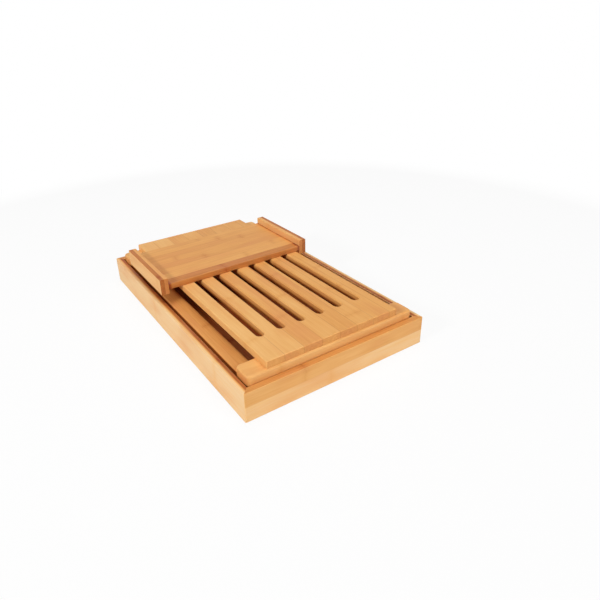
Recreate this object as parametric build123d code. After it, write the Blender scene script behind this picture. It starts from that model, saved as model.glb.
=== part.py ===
from build123d import *
import os

# A bamboo bread slicer: an open crumb tray, a slotted grid on a loose inner frame that lifts out of
# it, and a loose guide board with two cheeks that lies across the slats.
# Millimetres. The origin is the centre of the tray's underside, +X to the right, +Y to the back, +Z up.

# Crumb tray: four mitred walls round a thin floor
TRAY_WIDTH = 230.0
TRAY_DEPTH = 368.0
TRAY_HEIGHT = 34.0
WALL_THICKNESS = 8.0
FLOOR_THICKNESS = 4.0
FLOOR_REBATE = 4.0  # how far the floor reaches in under the walls
FLOOR_CLEARANCE = 0.2  # between the floor's edge and the rebate
WALL_EASE = 1.0  # rounding of the walls' long top edges
TRAY_CORNER_EASE = 1.0  # bevel of the tray's four upright corners
BASE_EASE = 0.6  # bevel round the tray's underside
SPLINE_THICKNESS = 2.0
SPLINE_WIDTH = 7.0
SPLINE_HEIGHT = 22.0
SPLINE_TOP_COVER = 4.0  # wood left over the tongue, so that it doesn't show

# Inner frame: two side rails standing in the tray, two cross rails on top of them
FRAME_SIDE_CLEARANCE = 1.5
FRAME_FRONT_CLEARANCE = 0.5  # the loose frame lies pushed towards the front wall
FRAME_REAR_CLEARANCE = 1.5
SIDE_RAIL_WIDTH = 19.5
SIDE_RAIL_DROP = 2.0  # the side rails' top below the tray's rim
SIDE_RAIL_INSET = 3.0  # from the cross rails' ends
SIDE_RAIL_EASE = 2.0
SIDE_RAIL_CORNER_CUT = 3.0  # bevel of each side rail's two outer upright corners
CROSS_RAIL_WIDTH = 25.0
CROSS_RAIL_THICKNESS = 10.5
CROSS_RAIL_EASE = 2.5
CROSS_RAIL_CORNER_RADIUS = 5.0
FRAME_DOWEL_DIAMETER = 8.0
FRAME_DOWEL_IN_SIDE_RAIL = 12.0
FRAME_DOWEL_IN_CROSS_RAIL = 8.0

# Crumb grid: one panel with long slots
GRID_WIDTH = 167.0
GRID_THICKNESS = 8.0
GRID_FRONT_INSET = 2.0  # from the front cross rail's outer face to the grid's front end
GRID_REAR_INSET = 0.5  # the same at the rear
GRID_EASE = 1.0
GRID_CORNER_EASE = 1.0
SLOT_COUNT = 6
SLOT_PITCH = 25.2
SLOT_WIDTH = 9.1
SLOT_EASE = 1.2  # bevel of the slats' top edges, which widens the slot at the surface
SLOT_END_MARGIN = 41.0  # solid wood left at each end of the grid
SCREW_DIAMETER = 3.5
SCREW_HEAD_DIAMETER = 7.0
SCREW_HEAD_HEIGHT = 2.2
SCREW_IN_GRID = 5.5
SCREW_SPACING = 100.8  # two screws along each cross rail

# Guide: a board between two cheeks, laid loosely on the slats
GUIDE_SIDE_CLEARANCE = 11.25  # from each cheek to the grid's edge, when it lies in the middle
GUIDE_DEPTH = 110.0
GUIDE_OFFSET = -6.2  # it lies a little left of the grid's middle line
GUIDE_FRONT = 17.0  # its front edge, measured from the middle of the tray
BOARD_THICKNESS = 7.0
BOARD_EASE = 0.8
CHEEK_THICKNESS = 10.0
CHEEK_HEIGHT = 20.0
CHEEK_DROP = 5.0  # how far the cheeks hang below the board
CHEEK_EASE = 0.9
GUIDE_DOWEL_DIAMETER = 4.0
GUIDE_DOWEL_COUNT = 3
GUIDE_DOWEL_SPACING = 38.0
GUIDE_DOWEL_IN_CHEEK = 7.0
GUIDE_DOWEL_IN_BOARD = 14.0

DOWEL_CLEARANCE = 0.1  # radial, in every dowel hole
SCREW_CLEARANCE = 0.1  # radial, in every screw hole

# Sizes and heights that follow from those above
INNER_WIDTH = TRAY_WIDTH - 2 * WALL_THICKNESS
INNER_DEPTH = TRAY_DEPTH - 2 * WALL_THICKNESS
FRAME_WIDTH = INNER_WIDTH - 2 * FRAME_SIDE_CLEARANCE
FRAME_DEPTH = INNER_DEPTH - FRAME_FRONT_CLEARANCE - FRAME_REAR_CLEARANCE
FRAME_Y = (FRAME_FRONT_CLEARANCE - FRAME_REAR_CLEARANCE) / 2
SIDE_RAIL_TOP = TRAY_HEIGHT - SIDE_RAIL_DROP
SIDE_RAIL_X = (FRAME_WIDTH - SIDE_RAIL_WIDTH) / 2 - SIDE_RAIL_INSET
CROSS_RAIL_TOP = SIDE_RAIL_TOP + CROSS_RAIL_THICKNESS
CROSS_RAIL_Y = (FRAME_DEPTH - CROSS_RAIL_WIDTH) / 2
GRID_DEPTH = FRAME_DEPTH - GRID_FRONT_INSET - GRID_REAR_INSET
GRID_Y = (GRID_FRONT_INSET - GRID_REAR_INSET) / 2
GRID_TOP = CROSS_RAIL_TOP + GRID_THICKNESS
SLOT_LENGTH = GRID_DEPTH - 2 * SLOT_END_MARGIN
SCREW_LENGTH = CROSS_RAIL_THICKNESS + SCREW_IN_GRID
BOARD_WIDTH = GRID_WIDTH + 2 * GUIDE_SIDE_CLEARANCE
GUIDE_WIDTH = BOARD_WIDTH + 2 * CHEEK_THICKNESS
CHEEK_X = (GUIDE_WIDTH - CHEEK_THICKNESS) / 2

SIDES = {"left": -1, "right": 1}
ENDS = {"front": -1, "rear": 1}


def block(width, depth, height, x=0.0, y=0.0, z=0.0):
    """A box centred on x and y and standing on z."""
    seat = (Align.CENTER, Align.CENTER, Align.MIN)
    return Pos(x, y, z) * Box(width, depth, height, align=seat)


def upright_edges(shape):
    return shape.edges().filter_by(Axis.Z)


def rim_edges(shape):
    """The edges round the topmost face."""
    return shape.faces().sort_by(Axis.Z)[-1].edges()


def evenly(count, spacing):
    """Places of a row of features, centred on zero."""
    return [(index - (count - 1) / 2) * spacing for index in range(count)]


def pin(diameter, length):
    """A round pin along +Z from the origin."""
    return Cylinder(diameter / 2, length, align=(Align.CENTER, Align.CENTER, Align.MIN))


# Crumb tray


def tray_ring():
    """All four walls in one, with eased edges and the floor's rebate."""
    ring = block(TRAY_WIDTH, TRAY_DEPTH, TRAY_HEIGHT)
    ring = chamfer(upright_edges(ring), TRAY_CORNER_EASE)
    ring = chamfer(ring.faces().sort_by(Axis.Z)[0].edges(), BASE_EASE)
    ring -= block(INNER_WIDTH, INNER_DEPTH, TRAY_HEIGHT)
    ring = fillet(rim_edges(ring), WALL_EASE)
    rebate_width = INNER_WIDTH + 2 * FLOOR_REBATE
    rebate_depth = INNER_DEPTH + 2 * FLOOR_REBATE
    return ring - block(rebate_width, rebate_depth, FLOOR_THICKNESS)


def mitre_wedge(length):
    """The space of one wall between its two mitres, its outer face on y = 0 and the tray at +Y."""
    half = length / 2
    reach = 2 * WALL_THICKNESS
    corners = [(-half, 0), (half, 0), (half - reach, reach), (reach - half, reach)]
    return extrude(Polygon(*corners, align=None), TRAY_HEIGHT)


def corner_spline(side, end):
    """A loose tongue across one mitre, in the middle of the wall's thickness."""
    x = side * (TRAY_WIDTH - WALL_THICKNESS) / 2
    y = end * (TRAY_DEPTH - WALL_THICKNESS) / 2
    z = TRAY_HEIGHT - SPLINE_TOP_COVER - SPLINE_HEIGHT
    tongue = block(SPLINE_WIDTH, SPLINE_THICKNESS, SPLINE_HEIGHT)
    return Pos(x, y, z) * Rot(0, 0, -45 * side * end) * tongue


def make_tray():
    ring = tray_ring()
    splines = [corner_spline(side, end) for side in SIDES.values() for end in ENDS.values()]
    for spline in splines:
        ring -= spline
    walls = {
        "tray_front_wall": Pos(0, -TRAY_DEPTH / 2, 0) * mitre_wedge(TRAY_WIDTH),
        "tray_rear_wall": Pos(0, TRAY_DEPTH / 2, 0) * Rot(0, 0, 180) * mitre_wedge(TRAY_WIDTH),
        "tray_left_wall": Pos(-TRAY_WIDTH / 2, 0, 0) * Rot(0, 0, -90) * mitre_wedge(TRAY_DEPTH),
        "tray_right_wall": Pos(TRAY_WIDTH / 2, 0, 0) * Rot(0, 0, 90) * mitre_wedge(TRAY_DEPTH),
    }
    pieces = {name: ring & wedge for name, wedge in walls.items()}
    floor_width = INNER_WIDTH + 2 * (FLOOR_REBATE - FLOOR_CLEARANCE)
    floor_depth = INNER_DEPTH + 2 * (FLOOR_REBATE - FLOOR_CLEARANCE)
    pieces["tray_floor"] = block(floor_width, floor_depth, FLOOR_THICKNESS)
    pieces["tray_corner_splines"] = Compound(splines)
    return pieces


# Inner frame and grid, made with the frame's middle on y = 0 and then set in the tray


def set_in_tray(pieces):
    return {name: Pos(0, FRAME_Y, 0) * piece for name, piece in pieces.items()}


def frame_dowels(clearance=0.0):
    """The upright dowel at each of the four corners or, with a clearance, the holes for them."""
    depth = FRAME_DOWEL_IN_SIDE_RAIL + clearance
    length = depth + FRAME_DOWEL_IN_CROSS_RAIL + clearance
    dowel = pin(FRAME_DOWEL_DIAMETER + 2 * clearance, length)
    return [
        Pos(side * SIDE_RAIL_X, end * CROSS_RAIL_Y, SIDE_RAIL_TOP - depth) * dowel
        for side in SIDES.values()
        for end in ENDS.values()
    ]


def side_rail(side):
    height = SIDE_RAIL_TOP - FLOOR_THICKNESS
    rail = block(SIDE_RAIL_WIDTH, FRAME_DEPTH, height, side * SIDE_RAIL_X, 0, FLOOR_THICKNESS)
    outer = upright_edges(rail).sort_by(Axis.X)
    outer = outer[:2] if side < 0 else outer[-2:]
    rail = chamfer(outer, SIDE_RAIL_CORNER_CUT)
    return fillet(rim_edges(rail).filter_by(Axis.Y), SIDE_RAIL_EASE)


def cross_rail(end):
    rail = block(FRAME_WIDTH, CROSS_RAIL_WIDTH, CROSS_RAIL_THICKNESS, 0, end * CROSS_RAIL_Y, SIDE_RAIL_TOP)
    rail = fillet(upright_edges(rail), CROSS_RAIL_CORNER_RADIUS)
    return fillet(rim_edges(rail), CROSS_RAIL_EASE)


def make_frame():
    pieces = {f"frame_{name}_rail": side_rail(side) for name, side in SIDES.items()}
    for name, end in ENDS.items():
        pieces[f"frame_{name}_rail"] = cross_rail(end)
    for hole in frame_dowels(DOWEL_CLEARANCE) + grid_screws(SCREW_CLEARANCE):
        for name in pieces:
            pieces[name] -= hole
    pieces["frame_dowels"] = Compound(frame_dowels())
    return set_in_tray(pieces)


def grid_screws(clearance=0.0):
    """Countersunk screws from below, or their holes, through the cross rails into the grid."""
    shank = pin(SCREW_DIAMETER + 2 * clearance, SCREW_LENGTH + clearance)
    head = Cone(
        SCREW_HEAD_DIAMETER / 2 + clearance,
        SCREW_DIAMETER / 2 + clearance,
        SCREW_HEAD_HEIGHT,
        align=(Align.CENTER, Align.CENTER, Align.MIN),
    )
    screw = shank + head
    return [
        Pos(x, end * CROSS_RAIL_Y, SIDE_RAIL_TOP) * screw
        for end in ENDS.values()
        for x in evenly(2, SCREW_SPACING)
    ]


def make_grid():
    grid = block(GRID_WIDTH, GRID_DEPTH, GRID_THICKNESS, 0, GRID_Y, CROSS_RAIL_TOP)
    grid = chamfer(upright_edges(grid), GRID_CORNER_EASE)
    grid = fillet(rim_edges(grid), GRID_EASE)
    slot = extrude(Rot(0, 0, 90) * SlotOverall(SLOT_LENGTH, SLOT_WIDTH), GRID_THICKNESS)
    for x in evenly(SLOT_COUNT, SLOT_PITCH):
        grid -= Pos(x, GRID_Y, CROSS_RAIL_TOP) * slot
    mouths = grid.faces().sort_by(Axis.Z)[-1].inner_wires()
    grid = chamfer([edge for mouth in mouths for edge in mouth.edges()], SLOT_EASE)
    for hole in grid_screws(SCREW_CLEARANCE):
        grid -= hole
    return set_in_tray({"crumb_grid": grid, "grid_screws": Compound(grid_screws())})


# Guide, made with its front edge on y = 0 and its board standing on z = 0, then laid on the slats


def guide_dowels(side, clearance=0.0):
    """The blind dowels between the board and one cheek or, with a clearance, the holes for them."""
    in_board = GUIDE_DOWEL_IN_BOARD + clearance
    length = in_board + GUIDE_DOWEL_IN_CHEEK + clearance
    dowel = pin(GUIDE_DOWEL_DIAMETER + 2 * clearance, length)
    x = side * (BOARD_WIDTH / 2 - in_board)
    return [
        Pos(x, GUIDE_DEPTH / 2 + along, BOARD_THICKNESS / 2) * Rot(0, 90 * side, 0) * dowel
        for along in evenly(GUIDE_DOWEL_COUNT, GUIDE_DOWEL_SPACING)
    ]


def cheek(side):
    solid = block(CHEEK_THICKNESS, GUIDE_DEPTH, CHEEK_HEIGHT, side * CHEEK_X, GUIDE_DEPTH / 2, -CHEEK_DROP)
    return fillet(solid.edges().filter_by(Axis.Y), CHEEK_EASE)


def make_guide():
    board = block(BOARD_WIDTH, GUIDE_DEPTH, BOARD_THICKNESS, 0, GUIDE_DEPTH / 2, 0)
    board = fillet(board.edges().filter_by(Axis.X), BOARD_EASE)
    pieces = {"guide_board": board}
    for name, side in SIDES.items():
        pieces[f"guide_{name}_cheek"] = cheek(side)
        for hole in guide_dowels(side, DOWEL_CLEARANCE):
            pieces[f"guide_{name}_cheek"] -= hole
            pieces["guide_board"] -= hole
        pieces[f"guide_{name}_dowels"] = Compound(guide_dowels(side))
    seat = Pos(GUIDE_OFFSET, GUIDE_FRONT, GRID_TOP)
    return {name: seat * piece for name, piece in pieces.items()}


os.makedirs("parts", exist_ok=True)
for node, shape in {**make_tray(), **make_frame(), **make_grid(), **make_guide()}.items():
    export_step(shape, f"parts/{node}.step")
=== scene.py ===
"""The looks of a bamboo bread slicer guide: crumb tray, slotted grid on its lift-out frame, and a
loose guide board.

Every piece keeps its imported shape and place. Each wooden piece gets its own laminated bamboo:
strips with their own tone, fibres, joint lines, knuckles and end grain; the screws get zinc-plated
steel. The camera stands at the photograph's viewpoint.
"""

import math

import bpy
from mathutils import Matrix, Vector


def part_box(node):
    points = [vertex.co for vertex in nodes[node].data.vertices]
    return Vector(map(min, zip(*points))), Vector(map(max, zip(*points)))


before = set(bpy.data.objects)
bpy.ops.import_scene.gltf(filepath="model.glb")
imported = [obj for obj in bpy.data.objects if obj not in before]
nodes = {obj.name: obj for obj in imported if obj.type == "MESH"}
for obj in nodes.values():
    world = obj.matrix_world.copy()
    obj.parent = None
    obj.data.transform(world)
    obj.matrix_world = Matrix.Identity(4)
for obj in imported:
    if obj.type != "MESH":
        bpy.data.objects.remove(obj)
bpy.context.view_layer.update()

MM = 0.001  # metres in a millimetre


# Camera

CAMERA_PLACE = Vector((-0.2860, -0.5216, 0.3420))  # metres
CAMERA_YAW = math.radians(32.58)  # from +Y towards +X
CAMERA_PITCH = math.radians(26.32)  # below the horizon
CAMERA_ROLL = math.radians(-1.88)
CLIP_START = 0.01  # metres
IMAGE_SIDE = 600  # pixels
FOCAL_LENGTH_PX = 525.1
OPTICAL_CENTRE_PX = (281.4, 272.7)  # the photograph is cropped, so this isn't its middle
SENSOR_WIDTH = 36.0  # millimetres


def make_camera():
    forward = Vector(
        (
            math.sin(CAMERA_YAW) * math.cos(CAMERA_PITCH),
            math.cos(CAMERA_YAW) * math.cos(CAMERA_PITCH),
            -math.sin(CAMERA_PITCH),
        )
    )
    level_right = Vector((math.cos(CAMERA_YAW), -math.sin(CAMERA_YAW), 0))
    level_up = level_right.cross(forward)
    right = level_right * math.cos(CAMERA_ROLL) + level_up * math.sin(CAMERA_ROLL)
    up = level_up * math.cos(CAMERA_ROLL) - level_right * math.sin(CAMERA_ROLL)
    data = bpy.data.cameras.new("photo_camera")
    data.sensor_width = SENSOR_WIDTH
    data.lens = FOCAL_LENGTH_PX / IMAGE_SIDE * SENSOR_WIDTH
    data.shift_x = 0.5 - OPTICAL_CENTRE_PX[0] / IMAGE_SIDE
    data.shift_y = OPTICAL_CENTRE_PX[1] / IMAGE_SIDE - 0.5
    data.clip_start = CLIP_START
    camera = bpy.data.objects.new("photo_camera", data)
    turn = Matrix((right, up, -forward)).transposed()
    camera.matrix_world = Matrix.Translation(CAMERA_PLACE) @ turn.to_4x4()
    bpy.context.scene.collection.objects.link(camera)
    bpy.context.scene.camera = camera


make_camera()


# Shader graphs


def linear(red, green, blue):
    """A colour written in 0 to 255 steps on the sRGB curve, as the renderer wants it."""

    def channel(value):
        value /= 255
        return value / 12.92 if value <= 0.04045 else ((value + 0.055) / 1.055) ** 2.4

    return (channel(red), channel(green), channel(blue), 1.0)


class Graph:
    """Adds nodes to one shader graph. An input is a socket or a plain value."""

    def __init__(self, tree):
        self.tree = tree

    def node(self, kind, **settings):
        node = self.tree.nodes.new(kind)
        for name, value in settings.items():
            setattr(node, name, value)
        return node

    def feed(self, socket, value):
        if isinstance(value, bpy.types.NodeSocket):
            self.tree.links.new(value, socket)
        else:
            socket.default_value = value

    def feed_all(self, sockets, values):
        for socket, value in zip(sockets, values):
            self.feed(socket, value)

    def math(self, operation, *values, clamp=False):
        """clamp keeps the result between 0 and 1."""
        node = self.node("ShaderNodeMath", operation=operation, use_clamp=clamp)
        self.feed_all(node.inputs, values)
        return node.outputs[0]

    def dot(self, vector, axis):
        node = self.node("ShaderNodeVectorMath", operation="DOT_PRODUCT")
        self.feed_all(node.inputs, (vector, axis))
        return node.outputs["Value"]

    def vector(self, x, y, z):
        node = self.node("ShaderNodeCombineXYZ")
        self.feed_all(node.inputs, (x, y, z))
        return node.outputs[0]

    def mix(self, factor, a, b):
        node = self.node("ShaderNodeMix", data_type="RGBA")
        self.feed(node.inputs["Factor"], factor)
        # the node has sockets for every type of data, and its colours are these
        self.feed_all(node.inputs[6:8], (a, b))
        return node.outputs[2]

    def noise(self, vector, scale=1.0, detail=2.0):
        node = self.node("ShaderNodeTexNoise", noise_dimensions="3D")
        self.feed(node.inputs["Vector"], vector)
        self.feed(node.inputs["Scale"], scale)
        self.feed(node.inputs["Detail"], detail)
        return node.outputs[0]

    def map_range(self, value, low, high, interpolation="LINEAR"):
        """0 up to low and 1 from high on; low may be the larger."""
        node = self.node("ShaderNodeMapRange", interpolation_type=interpolation)
        self.feed_all(node.inputs, (value, low, high, 0.0, 1.0))
        return node.outputs[0]

    def smooth(self, value, low, high):
        """0 at low, 1 at high and smooth in between."""
        return self.map_range(value, low, high, "SMOOTHSTEP")

    def ramp(self, value, stops, interpolation="LINEAR"):
        """A colour for each value; stops holds each stop's value and colour, from low to high."""
        low, high = stops[0][0], stops[-1][0]
        node = self.node("ShaderNodeValToRGB")
        node.color_ramp.interpolation = interpolation
        elements = node.color_ramp.elements
        while len(elements) < len(stops):
            elements.new(0.5)
        for element, (place, colour) in zip(elements, stops):
            element.position = (place - low) / (high - low)
            element.color = colour
        self.feed(node.inputs[0], self.map_range(value, low, high))
        return node.outputs[0]

    def per_strip(self, strip, strips):
        """Three numbers that change from strip to strip."""
        # strip is a whole number, so each strip's stop lies half a step before it
        stops = [(index - 0.5, (*numbers, 1.0)) for index, numbers in enumerate(strips)]
        stops.append((len(strips), stops[-1][1]))
        split = self.node("ShaderNodeSeparateColor")
        self.feed(split.inputs[0], self.ramp(strip, stops, "CONSTANT"))
        return split.outputs


def new_material(name):
    material = bpy.data.materials.new(name)
    material.use_nodes = True
    graph = Graph(material.node_tree)
    shader = material.node_tree.nodes["Principled BSDF"]
    return material, graph, shader


# Bamboo

# the shades of the cane, from its palest strips to its darkest
CANE = [
    (-0.33, linear(246, 206, 153)),
    (0.0, linear(244, 190, 120)),
    (0.33, linear(232, 168, 93)),
    (0.66, linear(209, 137, 68)),
    # the two darkest stops are reddened for the painted shade of the tray's floor and the slots'
    # walls, and also serve the cheeks' dark outer plies
    (1.0, linear(162, 78, 25)),
    (1.33, linear(114, 38, 7)),
]
ROSY = linear(228, 152, 94)
BROWN = linear(150, 80, 34)

# In what follows, lengths are in millimetres, and a contrast or shade is in the steps of CANE.
MARGIN = 1.0  # how far the outermost strips reach past the wood, to keep joint lines off its faces
ONE_STRIP = (-200.0, 400.0)  # first edge and pitch of a single strip that holds a whole piece
STRIP_STEP = 37.0  # sets each strip's fibres apart from the next one's
SHADE_OFFSET = 0.5  # keeps a strip's shade above 0 on its way through a colour ramp
TURNED = (0.75, 0.95)  # the cosines between which a face comes to count as turned some way

# length, width and detail of what runs along the grain
FINE_FIBRES = (24.0, 0.7, 3.0)
BROAD_FIBRES = (75.0, 3.2, 2.0)
CLOUDS = (60.0, 22.0, 1.0)
NOISE_MEAN = 0.5
FINE_CONTRAST = 0.34
BROAD_CONTRAST = 0.3
CLOUD_CONTRAST = 0.3
CLOUD_ROSINESS = 1.2

PORE_SCALE = 1.6  # per millimetre
PORE_LEVELS = (0.5, 0.68)  # of the noise, where a pore begins and where it is darkest
PORE_CONTRAST = 0.14
END_ROSINESS = 0.12

KNUCKLE_SPACING = 161.0
WANDER = 6.0  # how far a knuckle's line strays along the grain
WANDER_SCALE = 0.12  # per millimetre
# distances from a knuckle at which its band and its line begin and are darkest
KNUCKLE_BAND = (8.0, 0.0)
KNUCKLE_LINE = (1.5, 0.3)
BAND_CONTRAST = 0.1
LINE_CONTRAST = 0.05

PAINTED_CORNER_SHADE_WIDTH = 5.0  # of the painted shade where the wood meets another piece
PAINTED_CORNER_SHADE = 0.5
JOINT_LINE = (0.45, 0.1)  # distances from a joint at which its line begins and is darkest

ROUGHNESS = 0.5
FIBRE_ROUGHNESS = 0.25
SPECULAR_LEVEL = 0.3
RELIEF_HEIGHT = 0.1
RELIEF_STRENGTH = 0.35
JOINT_RELIEF = -0.3


def bamboo(
    name,
    grain,
    across,
    first_edge,
    pitch,
    strips,
    seed,
    sides=(0, 0),
    inside=(),
    end=(0.6, 0.4),
    joints=0.38,
    between=None,
):
    """Laminated bamboo.

    grain, across: directions of the fibres and of the row of strips
    first_edge, pitch: where the first strip starts along across, and the strips' width
    strips: for each strip its shade, its rosiness and the place of its knuckles along the grain
    seed: sets the fibres apart from those of other pieces
    sides: what is added to the shade on the faces that look against and along across, on some
    pieces a painted shade
    inside: keeps that away from the outside of the piece. Each entry tells the direction,
        "across" or "depth", the outside's distance from the middle, and how far in from there
        the added shade begins and is full
    end: the end grain's shade, and how much it hides that of the strips
    joints: how dark the joint lines are
    between: two places along the grain where the wood meets other pieces, where a painted shade
        darkens its last millimetres
    """
    grain, across = Vector(grain), Vector(across)
    depth = grain.cross(across)
    material, g, shader = new_material(name)
    coordinates = g.node("ShaderNodeTexCoord")
    place = coordinates.outputs["Object"]
    along_mm = g.dot(place, grain / MM)
    across_mm = g.dot(place, across / MM)
    depth_mm = g.dot(place, depth / MM)

    strip_place = g.math("DIVIDE", g.math("SUBTRACT", across_mm, first_edge), pitch)
    strip = g.math("FLOOR", strip_place)
    own = g.math("MULTIPLY_ADD", strip, STRIP_STEP, seed)
    shade, rosiness, knuckle = g.per_strip(
        strip, [(tone + SHADE_OFFSET, rose, k / KNUCKLE_SPACING) for tone, rose, k in strips]
    )

    def fibres(length, width, detail):
        vector = g.vector(
            g.math("MULTIPLY_ADD", along_mm, 1 / length, own),
            g.math("DIVIDE", across_mm, width),
            g.math("DIVIDE", depth_mm, width),
        )
        return g.math("SUBTRACT", g.noise(vector, detail=detail), NOISE_MEAN)

    fine = fibres(*FINE_FIBRES)
    broad = fibres(*BROAD_FIBRES)
    cloud = fibres(*CLOUDS)

    # which way the face looks
    normal = coordinates.outputs["Normal"]
    is_low_side = g.smooth(g.dot(normal, -across), *TURNED)
    is_high_side = g.smooth(g.dot(normal, across), *TURNED)
    for direction, outside, start, stop in inside:
        from_middle = g.math("ABSOLUTE", across_mm if direction == "across" else depth_mm)
        fade = g.smooth(g.math("SUBTRACT", outside, from_middle), start, stop)
        is_low_side = g.math("MULTIPLY", is_low_side, fade)
        is_high_side = g.math("MULTIPLY", is_high_side, fade)
    is_end = g.smooth(g.math("ABSOLUTE", g.dot(normal, grain)), *TURNED)
    pores = g.noise(g.vector(0.0, across_mm, depth_mm), scale=PORE_SCALE)

    # knuckles, where the cane had its joints: a thin line in a soft darker band
    from_first = g.math("SUBTRACT", along_mm, g.math("MULTIPLY", knuckle, KNUCKLE_SPACING))
    stray = g.noise(g.vector(own, across_mm, depth_mm), scale=WANDER_SCALE)
    wander = g.math("MULTIPLY", stray, WANDER)
    turns = g.math("DIVIDE", g.math("ADD", from_first, wander), KNUCKLE_SPACING)
    from_nearest = g.math("SUBTRACT", g.math("FRACT", g.math("ADD", turns, 0.5)), 0.5)
    distance = g.math("MULTIPLY", g.math("ABSOLUTE", from_nearest), KNUCKLE_SPACING)

    shade = g.math("SUBTRACT", shade, SHADE_OFFSET)
    end_shade, end_cover = end
    to_end = g.math("MULTIPLY", g.math("SUBTRACT", end_shade, shade), end_cover)
    shade = g.math("MULTIPLY_ADD", is_end, to_end, shade)
    for amount, contrast in (
        (fine, FINE_CONTRAST),
        (broad, BROAD_CONTRAST),
        (cloud, CLOUD_CONTRAST),
        (is_low_side, sides[0]),
        (is_high_side, sides[1]),
        (g.math("MULTIPLY", is_end, g.smooth(pores, *PORE_LEVELS)), PORE_CONTRAST),
        (g.smooth(distance, *KNUCKLE_BAND), BAND_CONTRAST),
        (g.smooth(distance, *KNUCKLE_LINE), LINE_CONTRAST),
    ):
        shade = g.math("MULTIPLY_ADD", amount, contrast, shade)
    # painted shade over the last millimetres where the wood meets other pieces
    if between:
        from_low = g.math("SUBTRACT", along_mm, between[0])
        from_high = g.math("SUBTRACT", between[1], along_mm)
        corner = g.smooth(g.math("MINIMUM", from_low, from_high), PAINTED_CORNER_SHADE_WIDTH, 0.0)
        shade = g.math("MULTIPLY_ADD", corner, PAINTED_CORNER_SHADE, shade)
    rosiness = g.math("MULTIPLY_ADD", cloud, CLOUD_ROSINESS, rosiness)
    rosiness = g.math("MULTIPLY_ADD", is_end, END_ROSINESS, rosiness, clamp=True)
    colour = g.mix(rosiness, g.ramp(shade, CANE), ROSY)

    # joint lines between the strips
    within = g.math("FRACT", strip_place)
    edge = g.math("MINIMUM", within, g.math("SUBTRACT", 1.0, within))
    joint = g.smooth(g.math("MULTIPLY", edge, pitch), *JOINT_LINE)
    colour = g.mix(g.math("MULTIPLY", joint, joints), colour, BROWN)

    g.feed(shader.inputs["Base Color"], colour)
    roughness = g.math("MULTIPLY_ADD", fine, FIBRE_ROUGHNESS, ROUGHNESS)
    g.feed(shader.inputs["Roughness"], roughness)
    shader.inputs["Specular IOR Level"].default_value = SPECULAR_LEVEL
    relief = g.math("MULTIPLY_ADD", joint, JOINT_RELIEF, g.math("ADD", fine, broad))
    relief = g.math("SUBTRACT", relief, g.math("MULTIPLY", pores, is_end))
    bump = g.node("ShaderNodeBump")
    bump.inputs["Strength"].default_value = RELIEF_STRENGTH
    bump.inputs["Distance"].default_value = RELIEF_HEIGHT * MM
    g.feed(bump.inputs["Height"], relief)
    g.feed(shader.inputs["Normal"], bump.outputs[0])
    return material


X, Y, Z = (1, 0, 0), (0, 1, 0), (0, 0, 1)


def dress(node, material):
    nodes[node].data.materials.clear()
    nodes[node].data.materials.append(material)


def dress_tray():
    half_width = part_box("tray_right_wall")[1].x / MM
    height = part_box("tray_right_wall")[1].z / MM
    lower_ply = 0.53  # its share of the height, a little more than the upper one's
    ply = height * lower_ply + MARGIN
    plies = [(-0.14, 0.02, 150), (0.27, -0.05, 118)]
    for name, seed in (("front", 3.0), ("rear", 11.0)):
        material = bamboo(
            f"{name}_wall_bamboo", X, Z, -MARGIN, ply, plies, seed, sides=(0, 0.34), joints=0.1
        )
        dress(f"tray_{name}_wall", material)

    # painted shade: on the long walls only the inner part of the top, by the gap inside the tray,
    # is darker
    plain = [(-0.23, 0.05, 41)]
    rim_painted_shade = [("depth", half_width, 1.8, 5.4)]
    for name, seed in (("left", 17.0), ("right", 23.0)):
        material = bamboo(
            f"{name}_wall_bamboo", Y, Z, *ONE_STRIP, plain, seed, sides=(0, 1.2), inside=rim_painted_shade
        )
        dress(f"tray_{name}_wall", material)

    # painted shade: dark strips for the shade under the grid; their tones and knuckles only have
    # to vary
    count, pitch = 12, 19.0
    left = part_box("tray_floor")[0].x / MM - MARGIN
    strips = [(1.02 + 0.1 * math.sin(2.1 * k), 0.0, 53 * k % 160) for k in range(count)]
    dress("tray_floor", bamboo("floor_painted_shade_bamboo", Y, X, left, pitch, strips, 29.0))
    spline = bamboo("spline_bamboo", Z, X, *ONE_STRIP, [(0.4, 0, 80)], 31.0)
    dress("tray_corner_splines", spline)


def dress_frame():
    pitch = 9.0
    strips = [(0.5, 0.1, 20), (0.58, 0.08, 110)]
    for name, seed in (("left", 37.0), ("right", 41.0)):
        rail = f"frame_{name}_rail"
        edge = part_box(rail)[0].x / MM - MARGIN
        material = bamboo(
            f"{name}_rail_bamboo", Y, X, edge, pitch, strips, seed, sides=(0.3, 0.3), joints=0.2
        )
        dress(rail, material)

    plain = [(0.2, 0.05, 95)]
    for name, seed in (("front", 43.0), ("rear", 47.0)):
        material = bamboo(
            f"{name}_rail_bamboo", X, Y, *ONE_STRIP, plain, seed, sides=(-0.08, 0.1)
        )
        dress(f"frame_{name}_rail", material)
    dress("frame_dowels", bamboo("dowel_bamboo", Z, X, *ONE_STRIP, [(0.45, 0, 80)], 53.0))


def dress_grid():
    first_joint, pitch = -85.3, 22.6
    strips = [
        (0.14, 0.0, 30),
        (0.18, 0.0, 120),
        (0.36, 0.08, 51),
        (0.29, 0.02, 90),
        (0.44, 0.12, 140),
        (0.32, 0.02, 10),
        (0.36, 0.06, 70),
        (0.36, 0.06, 125),
    ]
    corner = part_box("crumb_grid")[1] / MM
    material = bamboo(
        "grid_bamboo",
        Y,
        X,
        first_joint,
        pitch,
        strips,
        59.0,
        sides=(0.45, 0.45),
        # painted shade: only the slots' walls, darker below their eased rims
        inside=[("depth", corner.z, 3.0, 7.5), ("across", corner.x, 2.0, 6.0)],
        end=(0.62, 0.5),
        joints=0.32,
    )
    dress("crumb_grid", material)


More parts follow.
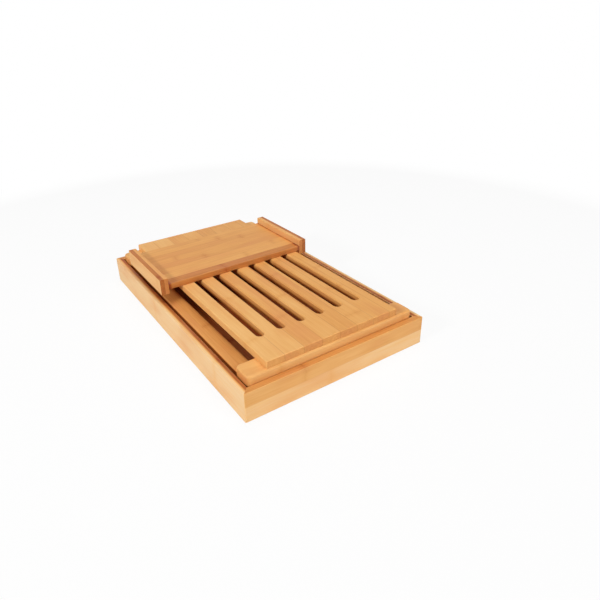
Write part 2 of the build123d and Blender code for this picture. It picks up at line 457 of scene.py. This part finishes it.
def dress_guide():
    front_left, rear_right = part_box("guide_board")
    pitch = 14.5
    strips = [
        (0.78, 0.1, 140),
        (0.36, 0.05, 20),
        (0.38, 0.05, 70),
        (0.48, 0.08, 134),
        (0.42, 0.08, 100),
        (0.48, 0.06, 45),
        (0.42, 0.05, 15),
        (0.4, 0.05, 150),
    ]
    material = bamboo(
        "board_bamboo",
        X,
        Y,
        front_left.y / MM - MARGIN,
        pitch,
        strips,
        61.0,
        sides=(-0.02, 0.3),
        joints=0.16,
        # painted shade over the board's last millimetres at the cheeks
        between=(front_left.x / MM, rear_right.x / MM),
    )
    dress("guide_board", material)

    outer = (0.85, 0.0, 30)
    for name, plies, sides, seed in (
        ("left", [outer, (0.3, 0.1, 100)], (-0.75, 0.1), 67.0),
        ("right", [(0.16, 0.1, 100), outer], (-0.25, -0.75), 71.0),
    ):
        cheek = f"guide_{name}_cheek"
        low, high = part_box(cheek)
        edge = low.x / MM - MARGIN
        ply = (high.x - low.x) / 2 / MM + MARGIN
        material = bamboo(
            f"{name}_cheek_bamboo", Y, X, edge, ply, plies, seed, sides=sides, end=(0.85, 0.65)
        )
        dress(cheek, material)
        peg = bamboo(f"{name}_peg_bamboo", X, Y, *ONE_STRIP, [(0.4, 0, 80)], seed + 2)
        dress(f"guide_{name}_dowels", peg)


ZINC_DARK = linear(176, 178, 182)
ZINC_PALE = linear(205, 206, 208)
ZINC_SPOTS = 900.0  # per metre
ZINC_SPOT_DETAIL = 3.0
ZINC_ROUGHNESS = 0.25
ZINC_SPOT_ROUGHNESS = 0.2


def dress_screws():
    material, g, shader = new_material("zinc_plated_steel")
    place = g.node("ShaderNodeTexCoord").outputs["Object"]
    spots = g.noise(place, scale=ZINC_SPOTS, detail=ZINC_SPOT_DETAIL)
    g.feed(shader.inputs["Base Color"], g.mix(spots, ZINC_DARK, ZINC_PALE))
    shader.inputs["Metallic"].default_value = 1.0
    roughness = g.math("MULTIPLY_ADD", spots, ZINC_SPOT_ROUGHNESS, ZINC_ROUGHNESS)
    g.feed(shader.inputs["Roughness"], roughness)
    dress("grid_screws", material)


dress_tray()
dress_frame()
dress_grid()
dress_guide()
dress_screws()


# Floor, background and light

FLOOR_HALF = 4.0  # metres from its middle to its sides
FLOOR_DROP = 0.1 * MM  # keeps the floor's surface apart from the tray's underside
FLOOR_SHADE = 0.94
FLOOR_ROUGHNESS = 0.9
FLOOR_SPECULAR = 0.1
FLOOR_GLOW = 0.89  # how much of the floor in view is plain white, which leaves a soft shadow
FLOOR_FADE = (0.25, 0.8)  # metres from the middle, where the rest of it fades into white
WORLD_LIGHT = 0.09
LIGHT_AIM = Vector((0, 0, 0.03))  # the middle of the object
# each light's name, place, side in metres and power in watts
LIGHTS = (
    ("key_light", (-2.0, -0.35, 1.15), 0.35, 24.0),
    ("fill_light", (0.5, -1.9, 0.65), 1.1, 15.9),
    ("top_light", (0, 0, 1.6), 1.2, 13.8),
)


def make_floor():
    mesh = bpy.data.meshes.new("floor")
    square = ((-1, -1), (1, -1), (1, 1), (-1, 1))
    corners = [(x * FLOOR_HALF, y * FLOOR_HALF, 0) for x, y in square]
    mesh.from_pydata(corners, [], [(0, 1, 2, 3)])
    floor = bpy.data.objects.new("floor", mesh)
    floor.location.z = -FLOOR_DROP
    bpy.context.scene.collection.objects.link(floor)
    material, g, shader = new_material("floor_paper")
    shader.inputs["Base Color"].default_value = (FLOOR_SHADE, FLOOR_SHADE, FLOOR_SHADE, 1)
    shader.inputs["Roughness"].default_value = FLOOR_ROUGHNESS
    shader.inputs["Specular IOR Level"].default_value = FLOOR_SPECULAR
    place = g.node("ShaderNodeTexCoord").outputs["Object"]
    length = g.node("ShaderNodeVectorMath", operation="LENGTH")
    g.feed(length.inputs[0], place)
    faded = g.math("MAXIMUM", g.smooth(length.outputs["Value"], *FLOOR_FADE), FLOOR_GLOW)
    light_path = g.node("ShaderNodeLightPath")
    white = g.math("MULTIPLY", faded, light_path.outputs["Is Camera Ray"])
    glow = g.node("ShaderNodeEmission")
    blend = g.node("ShaderNodeMixShader")
    g.feed_all(blend.inputs, (white, shader.outputs[0], glow.outputs[0]))
    output = material.node_tree.nodes["Material Output"]
    g.feed(output.inputs["Surface"], blend.outputs[0])
    mesh.materials.append(material)


def make_world():
    """White to the camera and in reflections, and a weak light on the object."""
    world = bpy.data.worlds.new("studio")
    world.use_nodes = True
    g = Graph(world.node_tree)
    background = world.node_tree.nodes["Background"]
    background.inputs["Color"].default_value = (1, 1, 1, 1)
    light_path = g.node("ShaderNodeLightPath")
    seen = light_path.outputs["Is Camera Ray"]
    for kind in ("Is Glossy Ray", "Is Transmission Ray"):
        seen = g.math("MAXIMUM", seen, light_path.outputs[kind])
    strength = g.math("MULTIPLY_ADD", seen, 1 - WORLD_LIGHT, WORLD_LIGHT)
    g.feed(background.inputs["Strength"], strength)
    bpy.context.scene.world = world


def area_light(name, place, side, power):
    """A square soft light that faces the middle of the object."""
    data = bpy.data.lights.new(name, "AREA")
    data.shape = "SQUARE"
    data.size = side
    data.energy = power
    light = bpy.data.objects.new(name, data)
    light.location = place
    aim = LIGHT_AIM - Vector(place)
    light.rotation_euler = aim.to_track_quat("-Z", "Y").to_euler()
    bpy.context.scene.collection.objects.link(light)


bpy.context.scene.view_settings.view_transform = "Standard"
make_floor()
make_world()
for settings in LIGHTS:
    area_light(*settings)
